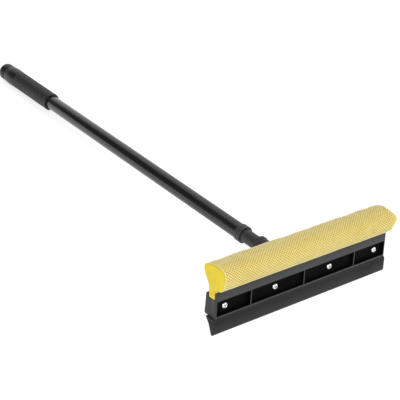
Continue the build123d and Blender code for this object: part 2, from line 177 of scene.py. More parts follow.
class SqueegeeColours(bpy.types.PropertyGroup):
    """Base colours of the finishes, as linear light."""

    head: colour_setting("Head Plastic", "Textured faces of the head", (0.014, 0.014, 0.0155))
    # The recess colour is painted shade: the recess floors face the same way as the rail but are coloured near
    # black.
    recess: colour_setting("Recess Painted Shade", "Polished floors of the recesses", (0.0020, 0.0020, 0.0024))
    rubber: colour_setting("Blade Rubber", "Rubber of the blade", (0.006, 0.006, 0.0066))
    foam: colour_setting("Foam", "Cell walls of the sponge", (0.76, 0.575, 0.022))
    # The pore colour is painted shade for the depths of the pores.
    foam_pore: colour_setting("Foam Pores", "Depths of the sponge's pores", (0.62, 0.40, 0.004))
    net: colour_setting("Net", "Nylon of the net", (0.88, 0.75, 0.27))
    paint: colour_setting("Pole Paint", "Gloss paint of the outer tube", (0.008, 0.008, 0.009))
    inner: colour_setting("Inner Coat", "Satin coat of the inner tube", (0.016, 0.016, 0.018))
    grip: colour_setting("Grip Rubber", "Soft rubber of the grip", (0.0036, 0.0036, 0.0040))
    steel: colour_setting("Steel", "Zinc-plated screws", (0.78, 0.78, 0.76))
    acetal: colour_setting("Lock Plastic", "Pale plastic of the lock inside the pole", (0.72, 0.71, 0.66))
    floor: colour_setting("Floor", "Pale light table", (0.45, 0.45, 0.45))


class SqueegeeView(bpy.types.PropertyGroup):
    """The camera and the studio light."""

    azimuth: angle_setting("Azimuth", "Camera's direction round the tool", -42.56)
    elevation: angle_setting("Elevation", "Camera's height above the floor", 30.03)
    roll: angle_setting("Roll", "Turn of the camera about its view", 7.67)
    distance: length_setting("Distance", "Camera's distance from the head", 1554.6)
    aim_right: length_setting("Aim Right", "Aim point, right of the blade's edge", -123.5)
    aim_up: length_setting("Aim Up", "Aim point, above the blade's edge", 123.0)
    lens: amount_setting("Focal Length", "Lens on a 36 mm sensor, in millimetres", 114.7, "CAMERA")
    sky: amount_setting("Dome", "Brightness of the white dome", 1.0)
    flag: amount_setting("Flag", "Brightness of the dark card behind the pole", 0.06)
    table: amount_setting("Table", "Glow of the light table, as a share of its colour", 1.6)
    fill: amount_setting("Fill Light", "Power of the small soft lamp on the right", 2.5, "POWER")
    key: amount_setting("Key Light", "Power of the large soft lamp", 14.0, "POWER")


# ---- materials


class Nodes:
    """A node tree, with short ways to add and join its nodes."""

    def __init__(self, tree):
        self.tree = tree

    def give(self, socket, value):
        """Gives a socket its link, its colour or its plain value."""
        if isinstance(value, bpy.types.NodeSocket):
            self.tree.links.new(value, socket)
        else:
            socket.default_value = (*value, 1.0) if socket.type == "RGBA" else value

    def add(self, kind, inputs=(), **settings):
        """A node with these settings; its inputs take a value or another node's socket."""
        node = self.tree.nodes.new(kind)
        for key, value in settings.items():
            setattr(node, key, value)
        for key, value in dict(inputs).items():
            self.give(node.inputs[key], value)
        return node

    def span(self, value, low, high, to_low=0.0, to_high=1.0):
        """A value taken from one range to another, and held inside it."""
        inputs = {"Value": value, "From Min": low, "From Max": high, "To Min": to_low, "To Max": to_high}
        return self.add("ShaderNodeMapRange", inputs, interpolation_type="SMOOTHSTEP").outputs["Result"]


class Shader(Nodes):
    """A material's node tree."""

    def __init__(self, name):
        self.material = bpy.data.materials.new(name)
        self.material.use_nodes = True
        super().__init__(self.material.node_tree)
        self.surface = self.tree.nodes["Principled BSDF"]
        self.place = self.add("ShaderNodeTexCoord").outputs["Object"]

    def axes(self, turn=0.0, stretch=(1, 1, 1)):
        """Object coordinates turned about X, then stretched."""
        turned = self.add("ShaderNodeMapping", {"Vector": self.place, "Rotation": (turn, 0, 0)})
        inputs = {"Vector": turned.outputs["Vector"], "Scale": stretch}
        return self.add("ShaderNodeMapping", inputs).outputs["Vector"]

    def noise(self, scale, vector=None, detail=3.0, roughness=0.5):
        """A noise pattern's height."""
        inputs = {"Vector": vector or self.place, "Scale": scale, "Detail": detail, "Roughness": roughness}
        return self.add("ShaderNodeTexNoise", inputs).outputs["Fac"]

    def cells(self, scale, smooth=0.0):
        """Distance to the nearest of scattered points, blended between them when smooth."""
        inputs = {"Vector": self.place, "Scale": scale}
        if smooth:
            inputs["Smoothness"] = smooth
        feature = "SMOOTH_F1" if smooth else "F1"
        return self.add("ShaderNodeTexVoronoi", inputs, feature=feature).outputs["Distance"]

    def blend(self, factor, first, second):
        """Two colours mixed by a factor."""
        return self.add("ShaderNodeMix", {0: factor, 6: first, 7: second}, data_type="RGBA").outputs[2]

    def sum(self, first, second, weight=1.0):
        """first plus second times a weight."""
        inputs = {0: second, 1: weight, 2: first}
        return self.add("ShaderNodeMath", inputs, operation="MULTIPLY_ADD").outputs[0]

    def part(self, vector, axis):
        """One coordinate of a vector."""
        return self.add("ShaderNodeSeparateXYZ", {"Vector": vector}).outputs[axis]

    def bump(self, height, depth, normal=None):
        """A bumped normal, with the depth in metres."""
        inputs = {"Height": height, "Distance": depth, "Strength": 1.0}
        if normal:
            inputs["Normal"] = normal
        return self.add("ShaderNodeBump", inputs).outputs["Normal"]

    def finish(self, shade, roughness, normal, **more):
        """Sets the surface's main sockets, and any more of them, named with underscores for spaces."""
        for key, value in {"Base Color": shade, "Roughness": roughness, "Normal": normal, **more}.items():
            self.give(self.surface.inputs[key.replace("_", " ")], value)
        return self.material


# Heights above the blade's edge, in metres: where the rubber's lightening towards its edge starts and is full, and
# where the painted highlight on its top does
EDGE_LIGHTEN_START = 0.018
EDGE_LIGHTEN_FULL = 0.002
TOP_HIGHLIGHT_START = 0.0178
TOP_HIGHLIGHT_FULL = 0.0186
# How far from the sponge's ends the painted shade under the net starts and is full, in millimetres
SHADE_START = 0.5
SHADE_FULL = 3.5
# Lean of the pole away from level, for grain that runs along it
POLE_TILT = LEAN - radians(POLE_RISE)


def tint(colour, gain):
    """A colour made lighter or darker."""
    return tuple(min(1.0, channel * gain) for channel in colour)


def moulded_plastic(name, colour, gain=1.0, rough=(0.40, 0.56)):
    """Spark-textured moulding: fine grain, faint flow marks and rubbed patches."""
    s = Shader(name)
    flow = s.noise(22.0, s.axes(LEAN, (0.35, 1, 1)), 4.0)
    grain = s.cells(1900.0, 0.6)
    rubbed = s.span(s.noise(45.0, detail=6.0, roughness=0.65), 0.56, 0.74)
    shade = s.blend(s.span(flow, 0.3, 0.7), tint(colour, 0.80 * gain), tint(colour, 1.18 * gain))
    shade = s.blend(rubbed, shade, tint(colour, 1.75 * gain))
    roughness = s.span(s.sum(flow, rubbed, -0.35), 0.1, 0.7, rough[0], rough[1])
    normal = s.bump(grain, 0.00005, s.bump(flow, 0.0006))
    return s.finish(shade, roughness, normal, Specular_IOR_Level=0.5)


def recess_painted_shade(name, colour):
    """The smooth floor of the recesses, coloured near black as painted shade, with dust in its low spots."""
    s = Shader(name)
    dust = s.span(s.noise(260.0, detail=8.0, roughness=0.7), 0.60, 0.78)
    # The near-black colour is painted shade; dust lightens it in patches.
    shade = s.blend(dust, colour, tint(colour, 4.0))
    swirl = s.noise(60.0, s.axes(LEAN, (0.3, 1, 1)), 3.0)
    roughness = s.span(swirl, 0.2, 0.8, 0.5, 0.7)
    return s.finish(shade, roughness, s.bump(swirl, 0.0003), Specular_IOR_Level=0.03)


def blade_rubber(name, colour):
    """Extruded rubber: lines along its length, a chalky bloom, a lighter tone towards the edge and a painted
    highlight on its top.
    """
    s = Shader(name)
    along = s.axes(LEAN, (0.012, 1, 1))
    lines = s.noise(900.0, along, 2.0)
    bands = s.noise(160.0, along, 2.0)
    bloom = s.span(s.noise(30.0, s.axes(LEAN, (0.5, 1, 1)), 7.0, 0.62), 0.45, 0.75)
    # The rubber is made lighter towards its edge.
    edge_lightening = s.span(s.part(s.place, "Z"), EDGE_LIGHTEN_START, EDGE_LIGHTEN_FULL)
    shade = s.blend(bloom, tint(colour, 0.85), tint(colour, 1.5))
    shade = s.blend(s.span(bands, 0.35, 0.7), shade, tint(colour, 1.2))
    shade = s.blend(edge_lightening, shade, tint(colour, 3.4))
    # Painted highlight: the top of the blade is made lighter.
    top_highlight = s.span(s.part(along, "Z"), TOP_HIGHLIGHT_START, TOP_HIGHLIGHT_FULL)
    shade = s.blend(top_highlight, shade, tint(colour, 4.5))
    roughness = s.span(s.sum(bloom, bands, 0.5), 0.2, 1.2, 0.42, 0.66)
    pits = s.cells(1400.0)
    normal = s.bump(lines, 0.00012, s.bump(pits, 0.00003))
    return s.finish(shade, roughness, normal, Specular_IOR_Level=0.15, Sheen_Weight=0.03)


def sponge_foam(name, colour, pore):
    """Open-cell foam: cell walls over pores of several sizes, with painted shade in the pores and under the net.
    """
    s = Shader(name)
    small = s.cells(1250.0)
    large = s.cells(420.0)
    wool = s.noise(2600.0, detail=3.0)
    depth = s.sum(s.span(small, 0.10, 0.55), s.span(large, 0.05, 0.45), 0.7)
    patch = s.noise(28.0, detail=3.0)
    wall = s.blend(s.span(patch, 0.3, 0.7), tint(colour, 0.94), tint(colour, 1.03))
    # Painted shade under the net: the foam darkens away from its cut ends.
    from_middle = s.add("ShaderNodeMath", {0: s.part(s.place, "X")}, operation="ABSOLUTE").outputs[0]
    net_shade_mask = s.span(from_middle, (HALF_LENGTH - SHADE_START) * MM, (HALF_LENGTH - SHADE_FULL) * MM)
    # Painted shade in the pores: the walls darken towards the pore colour.
    shade = s.blend(s.span(depth, 0.25, 1.15), pore, wall)
    shade = s.blend(net_shade_mask, shade, tint(pore, 0.95))
    normal = s.bump(wool, 0.00008, s.bump(depth, 0.00035))
    return s.finish(
        shade,
        0.95,
        normal,
        Specular_IOR_Level=0.15,
        Sheen_Weight=0.25,
        Subsurface_Weight=0.25,
        Subsurface_Scale=0.003,
    )


def nylon_net(name, colour):
    """Bundles of fine nylon filaments, a little dirty where they cross."""
    s = Shader(name)
    filament = s.noise(5200.0, detail=2.0)
    soiled = s.span(s.noise(34.0, detail=6.0, roughness=0.6), 0.52, 0.80)
    shade = s.blend(soiled, colour, (colour[0] * 0.86, colour[1] * 0.80, colour[2] * 0.62))
    shade = s.blend(s.span(filament, 0.25, 0.6), tint(colour, 0.74), shade)
    return s.finish(
        shade,
        0.5,
        s.bump(filament, 0.00006),
        Specular_IOR_Level=0.45,
        Sheen_Weight=0.45,
        Subsurface_Weight=0.1,
        Subsurface_Scale=0.001,
    )


def gloss_paint(name, colour):
    """Black enamel with orange peel, hairline scratches along the tube and a little dust."""
    s = Shader(name)
    peel = s.noise(420.0, detail=1.5)
    hairs = s.noise(2600.0, s.axes(POLE_TILT, (1, 0.006, 1)), 2.0)
    scratched = s.span(hairs, 0.60, 0.68)
    dust = s.span(s.cells(700.0), 0.16, 0.06)
    shade = s.blend(dust, colour, tint(colour, 6.0))
    shade = s.blend(scratched, shade, tint(colour, 2.2))
    roughness = s.span(s.sum(scratched, s.noise(60.0, detail=5.0), 0.7), 0.1, 1.3, 0.13, 0.34)
    normal = s.bump(peel, 0.00005)
    return s.finish(shade, roughness, normal, Coat_Weight=0.35, Coat_Roughness=0.12)


def satin_coat(name, colour):
    """Satin coat of the inner tube, ringed where the collar has rubbed it."""
    s = Shader(name)
    rings = s.noise(700.0, s.axes(POLE_TILT, (0.03, 1, 0.03)), 3.0)
    streaks = s.noise(1500.0, s.axes(POLE_TILT, (1, 0.01, 1)), 2.0)
    shade = s.blend(s.span(streaks, 0.45, 0.72), colour, tint(colour, 2.0))
    shade = s.blend(s.span(rings, 0.58, 0.70), shade, tint(colour, 2.4))
    roughness = s.span(rings, 0.3, 0.7, 0.30, 0.48)
    return s.finish(shade, roughness, s.bump(streaks, 0.00004))


def soft_rubber(name, colour):
    """Matte thermoplastic rubber of the grip: fine pitted skin, polished where the palm lies."""
    s = Shader(name)
    pits = s.cells(1500.0, 0.4)
    palm = s.span(s.noise(26.0, detail=5.0, roughness=0.6), 0.45, 0.72)
    shade = s.blend(palm, tint(colour, 0.85), tint(colour, 1.6))
    roughness = s.span(palm, 0.0, 1.0, 0.38, 0.28)
    normal = s.bump(pits, 0.00006, s.bump(s.noise(500.0, detail=4.0), 0.00008))
    return s.finish(shade, roughness, normal, Sheen_Weight=0.03, Specular_IOR_Level=0.5)


def plated_steel(name, colour):
    """Bright zinc plating with fine brushing, faint stains and painted shade in the cross recess."""
    s = Shader(name)
    brush = s.noise(4000.0, s.axes(0.6, (1, 0.1, 1)), 2.0)
    stain = s.span(s.noise(420.0, detail=6.0), 0.50, 0.78)
    shade = s.blend(stain, colour, (colour[0] * 0.72, colour[1] * 0.70, colour[2] * 0.62))
    # Painted shade: the floor of the cross recess is coloured near black.
    grime = s.add("ShaderNodeAttribute", attribute_name="grime").outputs["Fac"]
    shade = s.blend(grime, shade, (0.02, 0.02, 0.02))
    roughness = s.span(s.sum(brush, stain, 0.6), 0.2, 1.3, 0.12, 0.34)
    return s.finish(shade, roughness, s.bump(brush, 0.00002), Metallic=1.0)


def pale_acetal(name, colour):
    """Slippery pale plastic, greyed by the tube."""
    s = Shader(name)
    rub = s.span(s.noise(300.0, s.axes(0.0, (1, 0.05, 1)), 5.0), 0.5, 0.75)
    shade = s.blend(rub, colour, tint(colour, 0.55))
    roughness = s.span(rub, 0.0, 1.0, 0.30, 0.52)
    return s.finish(shade, roughness, s.bump(s.noise(900.0), 0.00003))


def studio_floor(name, colour, glow):
    """A light table's matte white acrylic, with the faintest mottling."""
    s = Shader(name)
    shade = s.blend(s.noise(3.0, detail=2.0), tint(colour, 0.99), colour)
    return s.finish(
        shade,
        0.9,
        s.bump(s.noise(900.0), 0.00002),
        Specular_IOR_Level=0.1,
        Emission_Color=shade,
        Emission_Strength=glow,
    )


def finishes():
    """The materials by the record's material slots, made once."""
    made = finishes.made
    if made:
        return made
    tones = bpy.context.scene.squeegee_colours
    colour = {key: tuple(getattr(tones, key)) for key in SqueegeeColours.__annotations__}
    made.update(
        head_plastic=moulded_plastic("head plastic", colour["head"]),
        # A lighter copy for the bevelled edges: partly edge wear, partly painted highlight.
        head_edge=moulded_plastic("head plastic edges", colour["head"], 1.2, (0.36, 0.48)),
        recess=recess_painted_shade("recess plastic", colour["recess"]),
        blade_rubber=blade_rubber("blade rubber", colour["rubber"]),
        sponge_foam=sponge_foam("sponge foam", colour["foam"], colour["foam_pore"]),
        sponge_net=nylon_net("sponge net", colour["net"]),
        pole_paint=gloss_paint("pole paint", colour["paint"]),
        inner_tube_coat=satin_coat("inner tube coat", colour["inner"]),
        collar_plastic=moulded_plastic("collar plastic", colour["inner"], 1.8, (0.36, 0.50)),
        grip_rubber=soft_rubber("grip rubber", colour["grip"]),
        screw_steel=plated_steel("screw steel", colour["steel"]),
        lock_plastic=pale_acetal("lock plastic", colour["acetal"]),
    )
    return made


finishes.made = {}


# ---- mesh tools


def rounded(points, radius, steps=4):
    """A closed outline with its corners rounded, where radius is one number or one for each corner."""
    count = len(points)
    radii = [radius] * count if isinstance(radius, (int, float)) else radius
    out = []
    for index, corner in enumerate(points):
        here = Vector(corner)
        before = Vector(points[index - 1]) - here
        after = Vector(points[(index + 1) % count]) - here
        if radii[index] <= 0 or before.length < 1e-6 or after.length < 1e-6:
            out.append(tuple(here))
            continue
        turn = before.angle(after)
        reach = radii[index] / max(1e-6, sin(turn / 2) / cos(turn / 2)) if turn < pi - 1e-3 else 0.0
        reach = min(reach, 0.45 * before.length, 0.45 * after.length)
        start = here + before.normalized() * reach
        end = here + after.normalized() * reach
        for step in range(steps + 1):
            t = step / steps
            out.append(tuple(start * (1 - t) ** 2 + here * 2 * t * (1 - t) + end * t**2))
    return out


def object_from(name, bm, materials):
    """A linked, smooth-shaded object made from a bmesh."""
    mesh = bpy.data.meshes.new(name)
    bm.to_mesh(mesh)
    bm.free()
    mesh.validate()
    return object_of(name, mesh, materials)


def object_of(name, mesh, materials):
    """A linked object that shows this mesh with these materials."""
    thing = bpy.data.objects.new(name, mesh)
    bpy.context.scene.collection.objects.link(thing)
    for material in materials:
        mesh.materials.append(material)
    mesh.shade_smooth()
    return thing


def baked(thing):
    """Turns an object with modifiers into a plain mesh object."""
    bpy.context.view_layer.update()
    graph = bpy.context.evaluated_depsgraph_get()
    mesh = bpy.data.meshes.new_from_object(thing.evaluated_get(graph), depsgraph=graph)
    thing.modifiers.clear()
    old = thing.data
    thing.data = mesh
    bpy.data.meshes.remove(old)
    mesh.name = thing.name
    return thing


def sharpen(thing, angle):
    """Marks the edges that turn more than this as sharp."""
    bm = bmesh.new()
    bm.from_mesh(thing.data)
    for edge in bm.edges:
        edge.smooth = not (edge.is_manifold and edge.calc_face_angle(0.0) > angle)
    bm.to_mesh(thing.data)
    bm.free()


def bridge(bm, rings, following):
    """Joins each ring of vertices to the one that follows it; returns the faces."""
    faces = []
    for ring, other in zip(rings, following):
        for k in range(len(ring)):
            after = (k + 1) % len(ring)
            faces.append(bm.faces.new((ring[k], ring[after], other[after], other[k])))
    return faces


def upright(height, radius, angle):
    """A point round the Z axis, in metres, for a master piece made at the origin."""
    return Vector((radius * cos(angle), radius * sin(angle), height)) * MM


def lathe(name, outline, materials, place=pole_point, steps=None):
    """A closed outline of (station, radius) points turned round the pole, as a solid."""
    steps = steps or bpy.context.scene.squeegee_sizes.lathe_steps
    bm = bmesh.new()
    rings = []
    for station, radius in outline:
        rings.append([bm.verts.new(place(station, radius, tau * k / steps)) for k in range(steps)])
    bridge(bm, rings, rings[1:] + rings[:1])
    bmesh.ops.remove_doubles(bm, verts=bm.verts, dist=1e-7)
    bmesh.ops.dissolve_degenerate(bm, edges=bm.edges, dist=1e-8)
    bmesh.ops.recalc_face_normals(bm, faces=bm.faces)
    return object_from(name, bm, materials)


def prism(bm, outline, half, slices=24):
    """Adds a closed outline of (y, z) points drawn along the head, with flat ends."""
    rings = []
    for k in range(slices + 1):
        x = -half + 2 * half * k / slices
        rings.append([bm.verts.new(head_point(x, y, z)) for y, z in outline])
    faces = bridge(bm, rings, rings[1:])
    ends = [bm.faces.new(rings[0]), bm.faces.new(list(reversed(rings[-1])))]
    bmesh.ops.recalc_face_normals(bm, faces=faces + ends)
    bmesh.ops.triangulate(bm, faces=ends)


def settle(thing, body, slot, *nodes):
    """Puts the finished piece on the body it rides on and hides the imported nodes it stands for; slot is not
    used.
    """
    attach(thing, body)
    if nodes:
        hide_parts(*nodes)
    return thing


def turned(name, outline, body, slot, node, sharp=50):
    """A finished piece turned round the pole, with edges sharp above an angle in degrees."""
    thing = lathe(name, outline, [finishes()[slot]])
    sharpen(thing, radians(sharp))
    return settle(thing, body, slot, node)


def softened(node, name, materials, zone=None):
    """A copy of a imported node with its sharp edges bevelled; zone picks each face's material."""
    bm = bmesh.new()
    bm.from_mesh(frame["nodes"][node].data)
    bmesh.ops.remove_doubles(bm, verts=bm.verts, dist=2e-6)
    bmesh.ops.dissolve_limit(bm, angle_limit=radians(1.0), verts=bm.verts, edges=bm.edges)
    bm.normal_update()
    for face in bm.faces:
        face.material_index = zone(face) if zone else 0
    thing = object_from(name, bm, materials)
    bevel = thing.modifiers.new("edges", "BEVEL")
    bevel.width = bpy.context.scene.squeegee_sizes.bevel
    bevel.segments = 2
    bevel.limit_method = "ANGLE"
    bevel.angle_limit = radians(40)
    bevel.use_clamp_overlap = True
    bevel.harden_normals = True
    # The bevel faces take the lighter edge material, partly edge wear and partly painted highlight.
    bevel.material = 1
    return baked(thing)


def head_axes(point):
    """A row-frame point back in the head's own axes."""
    y = point.y / MM
    z = point.z / MM
    return point.x / MM, y * cos(LEAN) - z * sin(LEAN) + EDGE_Y, y * sin(LEAN) + z * cos(LEAN) + EDGE_Z


# ---- geometry nodes


class Tree(Nodes):
    """A geometry node group with named inputs."""

    def __init__(self, name):
        super().__init__(bpy.data.node_groups.new(name, "GeometryNodeTree"))
        for way in ("OUTPUT", "INPUT"):
            self.tree.interface.new_socket("Geometry", in_out=way, socket_type="NodeSocketGeometry")
        self.inputs = self.add("NodeGroupInput")
        self.names = {}

    def ask(self, name, kind):
        """Adds a named input and returns its socket."""
        item = self.tree.interface.new_socket(name, in_out="INPUT", socket_type=kind)
        self.names[name] = item.identifier
        return next(s for s in self.inputs.outputs if s.identifier == item.identifier)

    def vector(self, name):
        """A named vector that each point carries."""
        node = self.add("GeometryNodeInputNamedAttribute", {"Name": name}, data_type="FLOAT_VECTOR")
        return node.outputs["Attribute"]

    def finish(self, geometry, material):
        """Realizes the geometry, gives it a material and sends it out."""
        real = self.add("GeometryNodeRealizeInstances", {"Geometry": geometry})
        painted = self.add("GeometryNodeSetMaterial", {"Geometry": real.outputs[0], "Material": material})
        self.add("NodeGroupOutput", {0: painted.outputs[0]})

    def apply(self, thing, values):
        """Runs the tree on an object with these input values and keeps the result as a plain mesh."""
        modifier = thing.modifiers.new(self.tree.name, "NODES")
        modifier.node_group = self.tree
        for name, value in values.items():
            modifier[self.names[name]] = value
        return baked(thing)


def strand_tree():
    """Edges become flat strands that lie on the surface their vertices face away from."""
    t = Tree("net strands")
    width = t.ask("Strand Width", "NodeSocketFloat")
    thickness = t.ask("Strand Thickness", "NodeSocketFloat")
    sides = t.ask("Profile Sides", "NodeSocketInt")
    material = t.ask("Material", "NodeSocketMaterial")
    lines = t.add("GeometryNodeMeshToCurve", {"Mesh": t.inputs.outputs["Geometry"]})
    inputs = {"Curve": lines.outputs[0], "Normal": t.vector("facing")}
    laid = t.add("GeometryNodeSetCurveNormal", inputs, mode="FREE")
    size = t.add("ShaderNodeCombineXYZ", {"X": thickness, "Y": width, "Z": 1.0})
    circle = t.add("GeometryNodeCurvePrimitiveCircle", {"Resolution": sides, "Radius": 0.5})
    profile = t.add("GeometryNodeTransform", {"Geometry": circle.outputs[0], "Scale": size.outputs[0]})
    tube = t.add(
        "GeometryNodeCurveToMesh",
        {"Curve": laid.outputs[0], "Profile Curve": profile.outputs[0], "Fill Caps": True},
    )
    t.finish(tube.outputs[0], material)
    return t


def copies_tree():
    """One master piece at every point, turned as the point says."""
    t = Tree("copies on points")
    master = t.ask("Master", "NodeSocketObject")
    material = t.ask("Material", "NodeSocketMaterial")
    source = t.add("GeometryNodeObjectInfo", {"Object": master})
    turn = t.add("FunctionNodeEulerToRotation", {"Euler": t.vector("turn")})
    copies = t.add(
        "GeometryNodeInstanceOnPoints",
        {
            "Points": t.inputs.outputs["Geometry"],
            "Instance": source.outputs["Geometry"],
            "Rotation": turn.outputs[0],
        },
    )
    t.finish(copies.outputs[0], material)
    return t


def marked_points(name, places, edges, key, vectors):
    """An object of points, with any edges between them, that carry one named vector each."""
    mesh = bpy.data.meshes.new(name)
    mesh.from_pydata([tuple(place) for place in places], edges, [])
    layer = mesh.attributes.new(key, "FLOAT_VECTOR", "POINT")
    for item, vector in zip(layer.data, vectors):
        item.vector = vector
    return object_of(name, mesh, [])


def copies(name, master, places, turns, material):
    """Copies of the master at these places, as one plain mesh; the master is used up."""
    thing = marked_points(name, places, [], "turn", turns)
    copies_tree().apply(thing, {"Master": master, "Material": material})
    bpy.data.objects.remove(master)
    return thing


# ---- the sponge's surface

SLOT_TOP_Z = 26.0
TONGUE_BOTTOM_Z = 24.4
SPONGE_OUTLINE = (
    (2.7, 37.5),
    (-5.0, 37.7),
    (-11.0, 44.0),
    (-13.4, 55.0),
    (-11.4, 63.6),
    (-3.5, 67.8),
    (6.0, 68.5),
    (16.0, 66.2),
    (24.6, 62.4),
    (24.2, 56.0),
    (22.0, 50.3),
    (16.8, 42.8),
    (13.9, 37.0),
    (13.5, 33.0),
)
# Where the sponge starts to be free of its slot, and over what height it becomes so
FREE_START_Z = 36.0
FREE_HEIGHT = 8.0
# How far from its ends the tight net draws the sponge in, and by how much
PULL_REACH = 7.0
PULL_DEPTH = 0.35
FOAM_STEP = 1.5
FOAM_SLICES = 94
PORES_PER_METRE = 330.0
PORE_EDGE = 0.42
NET_INSET = 2.2
# How high a strand lies over and under the one that it crosses
OVER_LIFT = 0.26
UNDER_LIFT = 0.14
STRAND_SIDES = 6
# How far a crossing strays, as a share of half the net's pitch
MESH_WAVE = 0.10
# The two strands of the selvedge at each end of the net
SELVEDGE_OUT = 0.2
SELVEDGE_GAP = 0.55
SELVEDGE_LIFT = 0.22
SELVEDGE_SWAY = 0.35
SELVEDGE_STEP = 1.6
HEM_SWAY = 0.15
HEM_STEP = 1.8
# Strands of the hem along the sponge's lower front edge, as (distance from the edge, lift)
HEM_STRANDS = ((0.4, 0.2), (1.3, 0.3), (2.2, 0.25))
TONGUE_FRONT_Y = 2.7
TONGUE_BACK_Y = 13.5
SPONGE_CORNERS = (0.9, 1.6, 6.0, 7.0, 6.0, 7.0, 8.0, 7.0, 2.2, 4.0, 5.0, 8.0, 6.0, 4.0)


class Section:
    """The sponge's outline from one foot of its tongue over the top to the other, by distance along it."""

    def __init__(self):
        whole = [(TONGUE_FRONT_Y, TONGUE_BOTTOM_Z), *SPONGE_OUTLINE, (TONGUE_BACK_Y, TONGUE_BOTTOM_Z)]
        path = rounded(whole, (0, *SPONGE_CORNERS, 0), 6)
        self.points = [Vector(p) for p in path]
        self.reach = [0.0]
        for a, b in zip(self.points, self.points[1:]):
            self.reach.append(self.reach[-1] + (b - a).length)
        self.length = self.reach[-1]

    def at(self, distance):
        """The point at a distance along the outline."""
        distance = max(0.0, min(self.length, distance))
        index = 1
        while index < len(self.reach) - 1 and self.reach[index] < distance:
            index += 1
        span = self.reach[index] - self.reach[index - 1]
        t = (distance - self.reach[index - 1]) / span if span else 0.0
        return self.points[index - 1].lerp(self.points[index], t)

    def nearest(self, corner):
        """The distance along the outline where it passes nearest to a corner."""
        steps = [self.length * k / 2000 for k in range(2001)]
        return min(steps, key=lambda distance: (self.at(distance) - Vector(corner)).length)

    def outward(self, distance):
        """The outward direction at a distance, smoothed over a short stretch."""
        step = 0.8
        run = self.at(distance + step) - self.at(distance - step)
        return Vector((-run.y, run.x)).normalized()


def lump(x, y, z, height):
    """How far the soft foam stands out at a point, in millimetres."""
    place = Vector((x * 0.9, y, z)) * 0.045
    fine = Vector((x, y, z)) * 0.14
    return height * (noise.noise(place) * 1.2 + noise.noise(fine) * 0.45)


def fade_to_slot(z):
    """1 on the open sponge and 0 where the slot holds it."""
    return max(0.0, min(1.0, (z - FREE_START_Z) / FREE_HEIGHT))


def end_pull(x):
    """How far the sponge draws in near its ends, where the net is tight, in millimetres."""
    inset = max(0.0, min(1.0, (HALF_LENGTH - abs(x)) / PULL_REACH))
    return PULL_DEPTH * (1.0 - inset) ** 2


def end_skew(x, y, z):
    """How far the hand-cut end on the +X side leans outwards at its nose and inwards at its crown."""
    near = max(0.0, (x - 105.0) / 35.0) ** 2
    nose = max(0.0, 1.0 - hypot(y + 14.0, z - 58.0) / 12.0)
    crown = max(0.0, 1.0 - hypot(y + 2.0, z - 67.0) / 11.0)
    return near * (5.2 * nose - 3.2 * crown)


def sponge_surface(section, x, distance, lumps, lift=0.0):
    """A point on the sponge and its outward direction, in the row frame."""
    flat = section.at(distance)
    out = section.outward(distance)
    free = fade_to_slot(flat.y)
    rise = lift + free * (lump(x, flat.x, flat.y, lumps) - 0.5 * lumps - end_pull(x))
    place = flat + out * rise
    return head_point(x + end_skew(x, flat.x, flat.y), place.x, place.y), head_direction(0, out.x, out.y)


# ---- operators


class SQUEEGEE_OT_head(bpy.types.Operator):
    """Build the head's front bar and back body with softened edges"""

    bl_idname = "squeegee.head"
    bl_label = "Head"

    def execute(self, context):
        made = finishes()

        # Faces inside the recesses take the near-black painted-shade material.
        def recess_shade_zone(face):
            x, y, z = head_axes(face.calc_center_median())
            across = FRONT_SKIN < y < WEB_BACK_Y
            inside = across and RECESS_BOTTOM_Z - SLACK < z < RECESS_TOP_Z + SLACK
            return 2 if inside and abs(x) < HALF_LENGTH - 1.0 else 0

        looks = [made["head_plastic"], made["head_edge"], made["recess"]]
        bar = softened("front_clamp_bar", "front_bar", looks, recess_shade_zone)
        settle(bar, "head", "head_plastic", "front_clamp_bar")
        body = softened("back_body", "back_shell", looks)
        settle(body, "head", "head_plastic", "back_body")
        return {"FINISHED"}


class SQUEEGEE_OT_blade(bpy.types.Operator):
    """Build the rubber blade, cut a little longer than the head"""

    bl_idname = "squeegee.blade"
    bl_label = "Blade"

    def execute(self, context):
        half_edge = EDGE_WIDTH / 2
        back_edge = (EDGE_Y + half_edge * cos(LEAN), EDGE_Z + half_edge * sin(LEAN))
        front_edge = (EDGE_Y - half_edge * cos(LEAN), EDGE_Z - half_edge * sin(LEAN))
        wedge = (
            (0.4, EDGE_Z + 1.8),
            (0.4, -2.9),
            (2.8, -0.5),
            (4.9, -0.5),
            (5.3, -4.5),
            (5.7, -0.5),
            (11.0, -0.3),
            (14.4, 0.5),
            (12.6, -2.0),
            (8.2, -8.0),
            back_edge,
            front_edge,
        )
        radii = (0.5, 0.8, 0.6, 0.3, 0.2, 0.3, 0.3, 0.25, 1.5, 4.0, 0.1, 0.1)
        bulb = (
            (7.0, 3.2),
            (7.0, 7.8),
            (11.6, 7.8),
            (11.6, 3.2),
            (10.2, 3.2),
            (10.2, -1.5),
            (7.6, -1.5),
            (7.6, 3.2),
        )
        bm = bmesh.new()
        prism(bm, rounded(wedge, radii, 4), BLADE_HALF)
        prism(bm, rounded(bulb, 0.15, 2), HALF_LENGTH)
        blade = object_from("blade", bm, [finishes()["blade_rubber"]])
        sharpen(blade, radians(40))
        settle(blade, "head", "blade_rubber", "rubber_blade")
        return {"FINISHED"}


